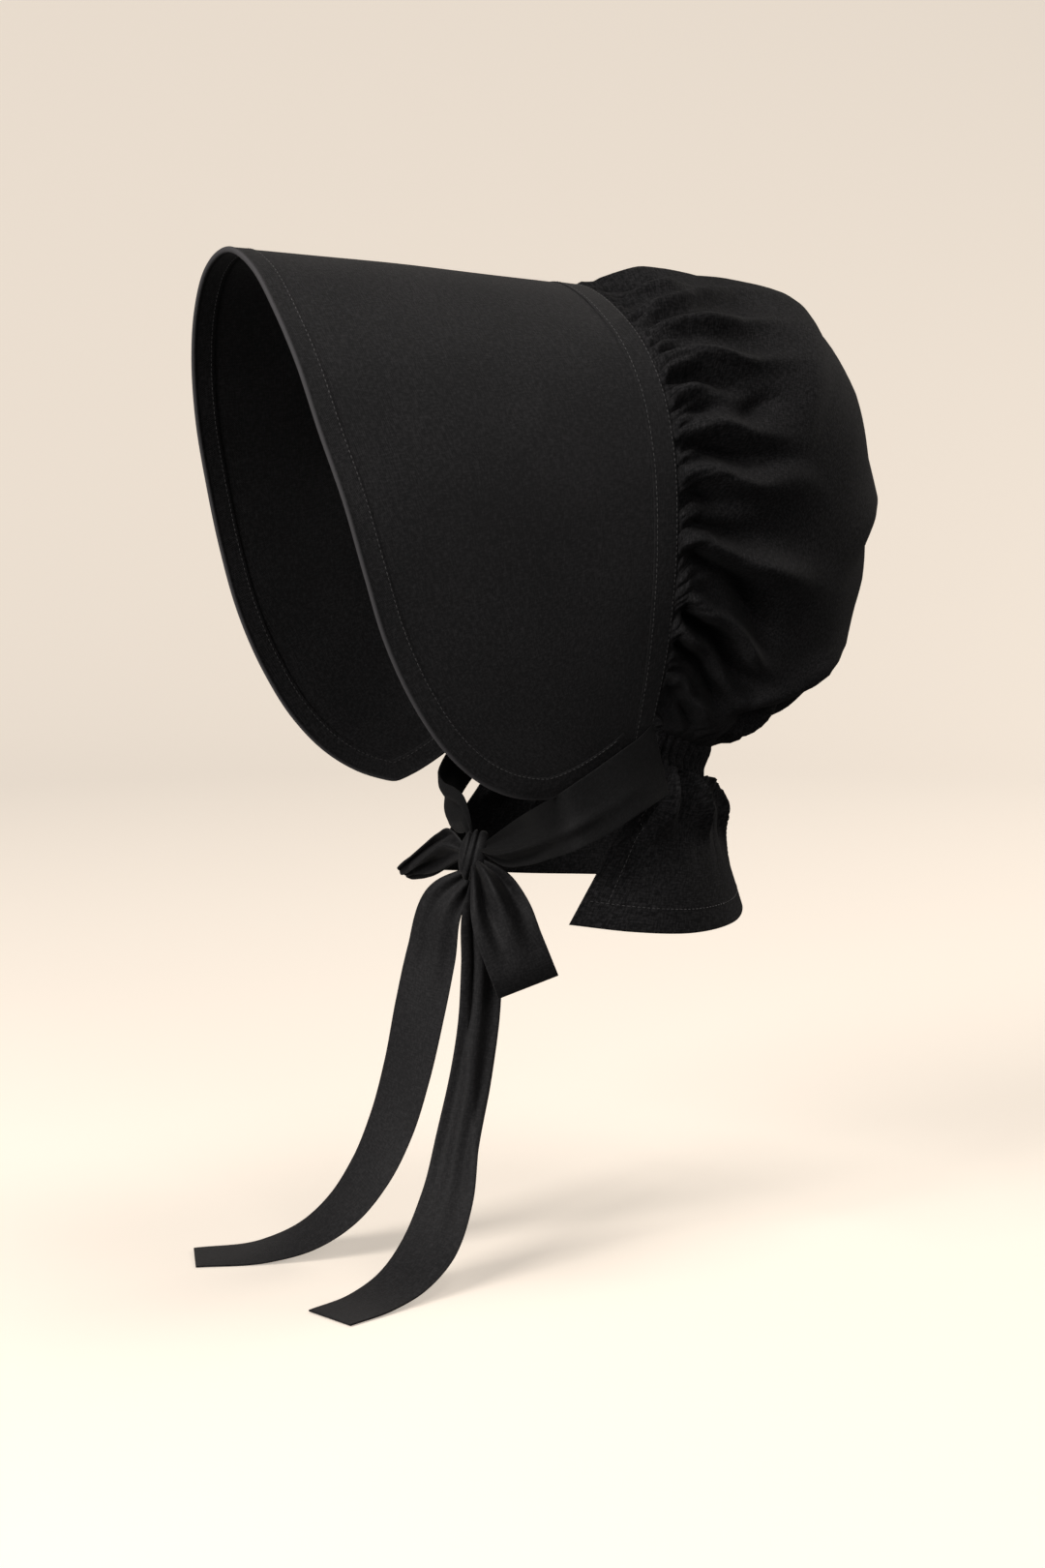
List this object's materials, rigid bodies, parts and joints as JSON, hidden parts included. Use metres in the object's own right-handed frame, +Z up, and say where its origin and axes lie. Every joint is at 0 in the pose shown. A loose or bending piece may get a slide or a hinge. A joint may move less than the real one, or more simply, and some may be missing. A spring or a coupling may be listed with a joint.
{
  "type": "pioneer bonnet",
  "caption": "Black cotton pioneer bonnet: deep stiff brim, gathered puffed crown, neck curtain, and ribbon ties fastened in a bow under the chin with hanging ends.",
  "frame": {"origin": "on top of the wearer's head, inside the bonnet, just under the seam between brim and crown", "axes": "+Z up, the face opening towards -Y, +X towards the wearer's left"},
  "size_m": [0.1955, 0.351, 0.5043],
  "materials": {
    "brim_cotton": "matte stiffened plain-weave cotton",
    "crown_cotton": "matte soft plain-weave cotton",
    "ribbon": "soft cotton ribbon with a slight sheen"
  },
  "bodies": {
    "root": {"brim": "brim_cotton", "brim_binding": "brim_cotton", "crown_band": "brim_cotton", "crown": "crown_cotton", "neck_casing": "crown_cotton", "neck_curtain": "crown_cotton", "tie_left": "ribbon", "tie_right": "ribbon", "bow_knot": "ribbon", "bow_loop_left": "ribbon", "bow_loop_right": "ribbon", "tail_front": "ribbon", "tail_back": "ribbon"}
  },
  "joints": []
}
